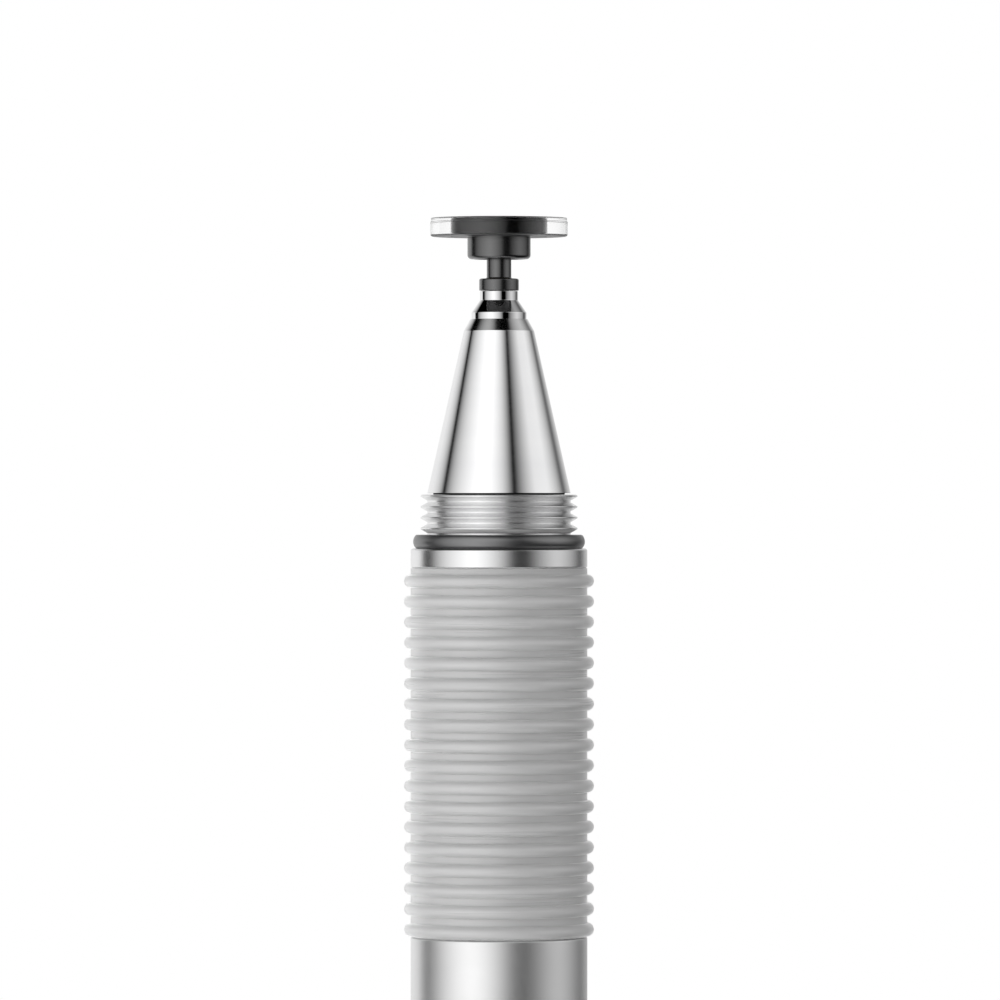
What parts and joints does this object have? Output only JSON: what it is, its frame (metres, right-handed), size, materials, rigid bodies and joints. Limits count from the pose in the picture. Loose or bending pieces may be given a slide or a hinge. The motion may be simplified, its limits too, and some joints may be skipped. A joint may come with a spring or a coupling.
{
  "type": "stylus pen",
  "caption": "Disc-tipped stylus pen: clear tilting disc on a ball stem, sprung tip, chrome nose cone, ribbed silicone grip, satin metal barrel, and a screw cap posted on the tail.",
  "frame": {"origin": "middle of the flat end of the cap on the tail, which the pen stands on", "axes": "+Z along the pen's axis from the tail to the tip; +X and +Y are the tilt axes of the disc"},
  "size_m": [0.0096, 0.0096, 0.138],
  "materials": {
    "clear_acrylic": "clear moulded acrylic",
    "black_conductive_plastic": "satin black carbon-filled plastic",
    "bronze_liner": "plain bronze bearing shell",
    "spring_steel": "drawn spring wire",
    "brass_screw": "turned brass",
    "polished_chrome": "mirror-polished chrome plate",
    "turned_steel": "turned and left bright, fine thread",
    "seal_rubber": "moulded nitrile",
    "grey_silicone": "translucent light grey silicone",
    "satin_aluminium": "bead-blasted and clear anodised",
    "foam_pad": "soft closed-cell foam"
  },
  "bodies": {
    "pen": {"nose_cone": "polished_chrome", "spring_screw": "brass_screw", "tip_spring": "spring_steel", "grip_core": "turned_steel", "front_o_ring": "seal_rubber", "front_ring": "polished_chrome", "grip_sleeve": "grey_silicone", "barrel": "satin_aluminium", "tail_ring": "polished_chrome", "tail_o_ring": "seal_rubber", "tail_bush": "turned_steel"},
    "plunger": {"tip_plunger": "polished_chrome"},
    "stem": {"ball_stem": "black_conductive_plastic", "stem_retainer": "spring_steel"},
    "socket": {"socket_liner": "bronze_liner"},
    "disc": {"disc_hub": "black_conductive_plastic", "tip_disc": "clear_acrylic"},
    "cap": {"cap_shell": "satin_aluminium", "cap_pad": "foam_pad", "cap_end": "satin_aluminium"}
  },
  "joints": [
    {"name": "tip_plunge", "type": "slide", "parent": "pen", "child": "plunger", "axis": [0, 0, -1], "range_m": [0, 0.0004], "stiffness_N_per_m": 400, "deforming": ["tip_spring"]},
    {"name": "stem_turn", "type": "hinge", "parent": "plunger", "child": "stem", "pos_m": [0, 0, 0.13435], "axis": [0, 0, 1], "continuous": true},
    {"name": "disc_tilt_x", "type": "hinge", "parent": "stem", "child": "socket", "pos_m": [0, 0, 0.13668], "axis": [1, 0, 0], "range_deg": [-25, 25]},
    {"name": "disc_tilt_y", "type": "hinge", "parent": "socket", "child": "disc", "pos_m": [0, 0, 0.13668], "axis": [0, 1, 0], "range_deg": [-25, 25]},
    {"name": "cap_off", "type": "slide", "parent": "pen", "child": "cap", "axis": [0, 0, -1], "range_m": [0, 0.025]}
  ]
}
